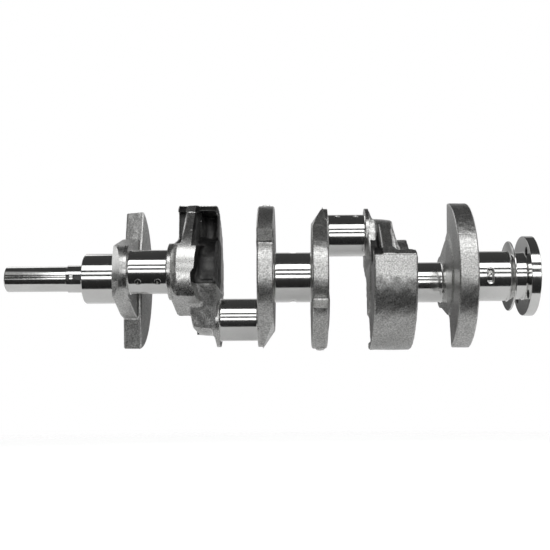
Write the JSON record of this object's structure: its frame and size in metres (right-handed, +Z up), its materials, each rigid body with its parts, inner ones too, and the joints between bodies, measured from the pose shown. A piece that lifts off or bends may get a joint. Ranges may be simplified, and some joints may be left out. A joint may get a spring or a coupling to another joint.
{
  "type": "crankshaft",
  "caption": "Forged steel crankshaft for a V8 engine, with ground main and rod journals, counterweights, keyed nose and flywheel flange.",
  "frame": {"origin": "centre of the centre main journal, on the crank axis", "axes": "+X along the crank axis towards the flywheel flange, -Y towards throw 1 and the keyways, +Z up"},
  "size_m": [0.67, 0.1855, 0.186],
  "materials": {
    "ground_steel": "ground and polished, bright",
    "forged_steel": "as forged and shot blasted, dull grey"
  },
  "bodies": {
    "root": {"snout": "ground_steel", "gear_seat": "ground_steel", "front_main_journal": "ground_steel", "web_1_arm": "forged_steel", "web_1_counterweight": "forged_steel", "rod_journal_1": "ground_steel", "web_2_front_arm": "forged_steel", "web_2_core": "forged_steel", "web_2_rear_arm": "forged_steel", "web_2_counterweight": "forged_steel", "rod_journal_2": "ground_steel", "web_3_arm": "forged_steel", "web_3_counterweight": "forged_steel", "centre_main_journal": "ground_steel", "web_4_arm": "forged_steel", "web_4_counterweight": "forged_steel", "rod_journal_3": "ground_steel", "web_5_front_arm": "forged_steel", "web_5_core": "forged_steel", "web_5_rear_arm": "forged_steel", "web_5_counterweight": "forged_steel", "rod_journal_4": "ground_steel", "web_6_arm": "forged_steel", "web_6_counterweight": "forged_steel", "rear_main_journal": "ground_steel", "oil_slinger": "ground_steel", "seal_land": "ground_steel", "flywheel_flange": "ground_steel"}
  },
  "joints": []
}
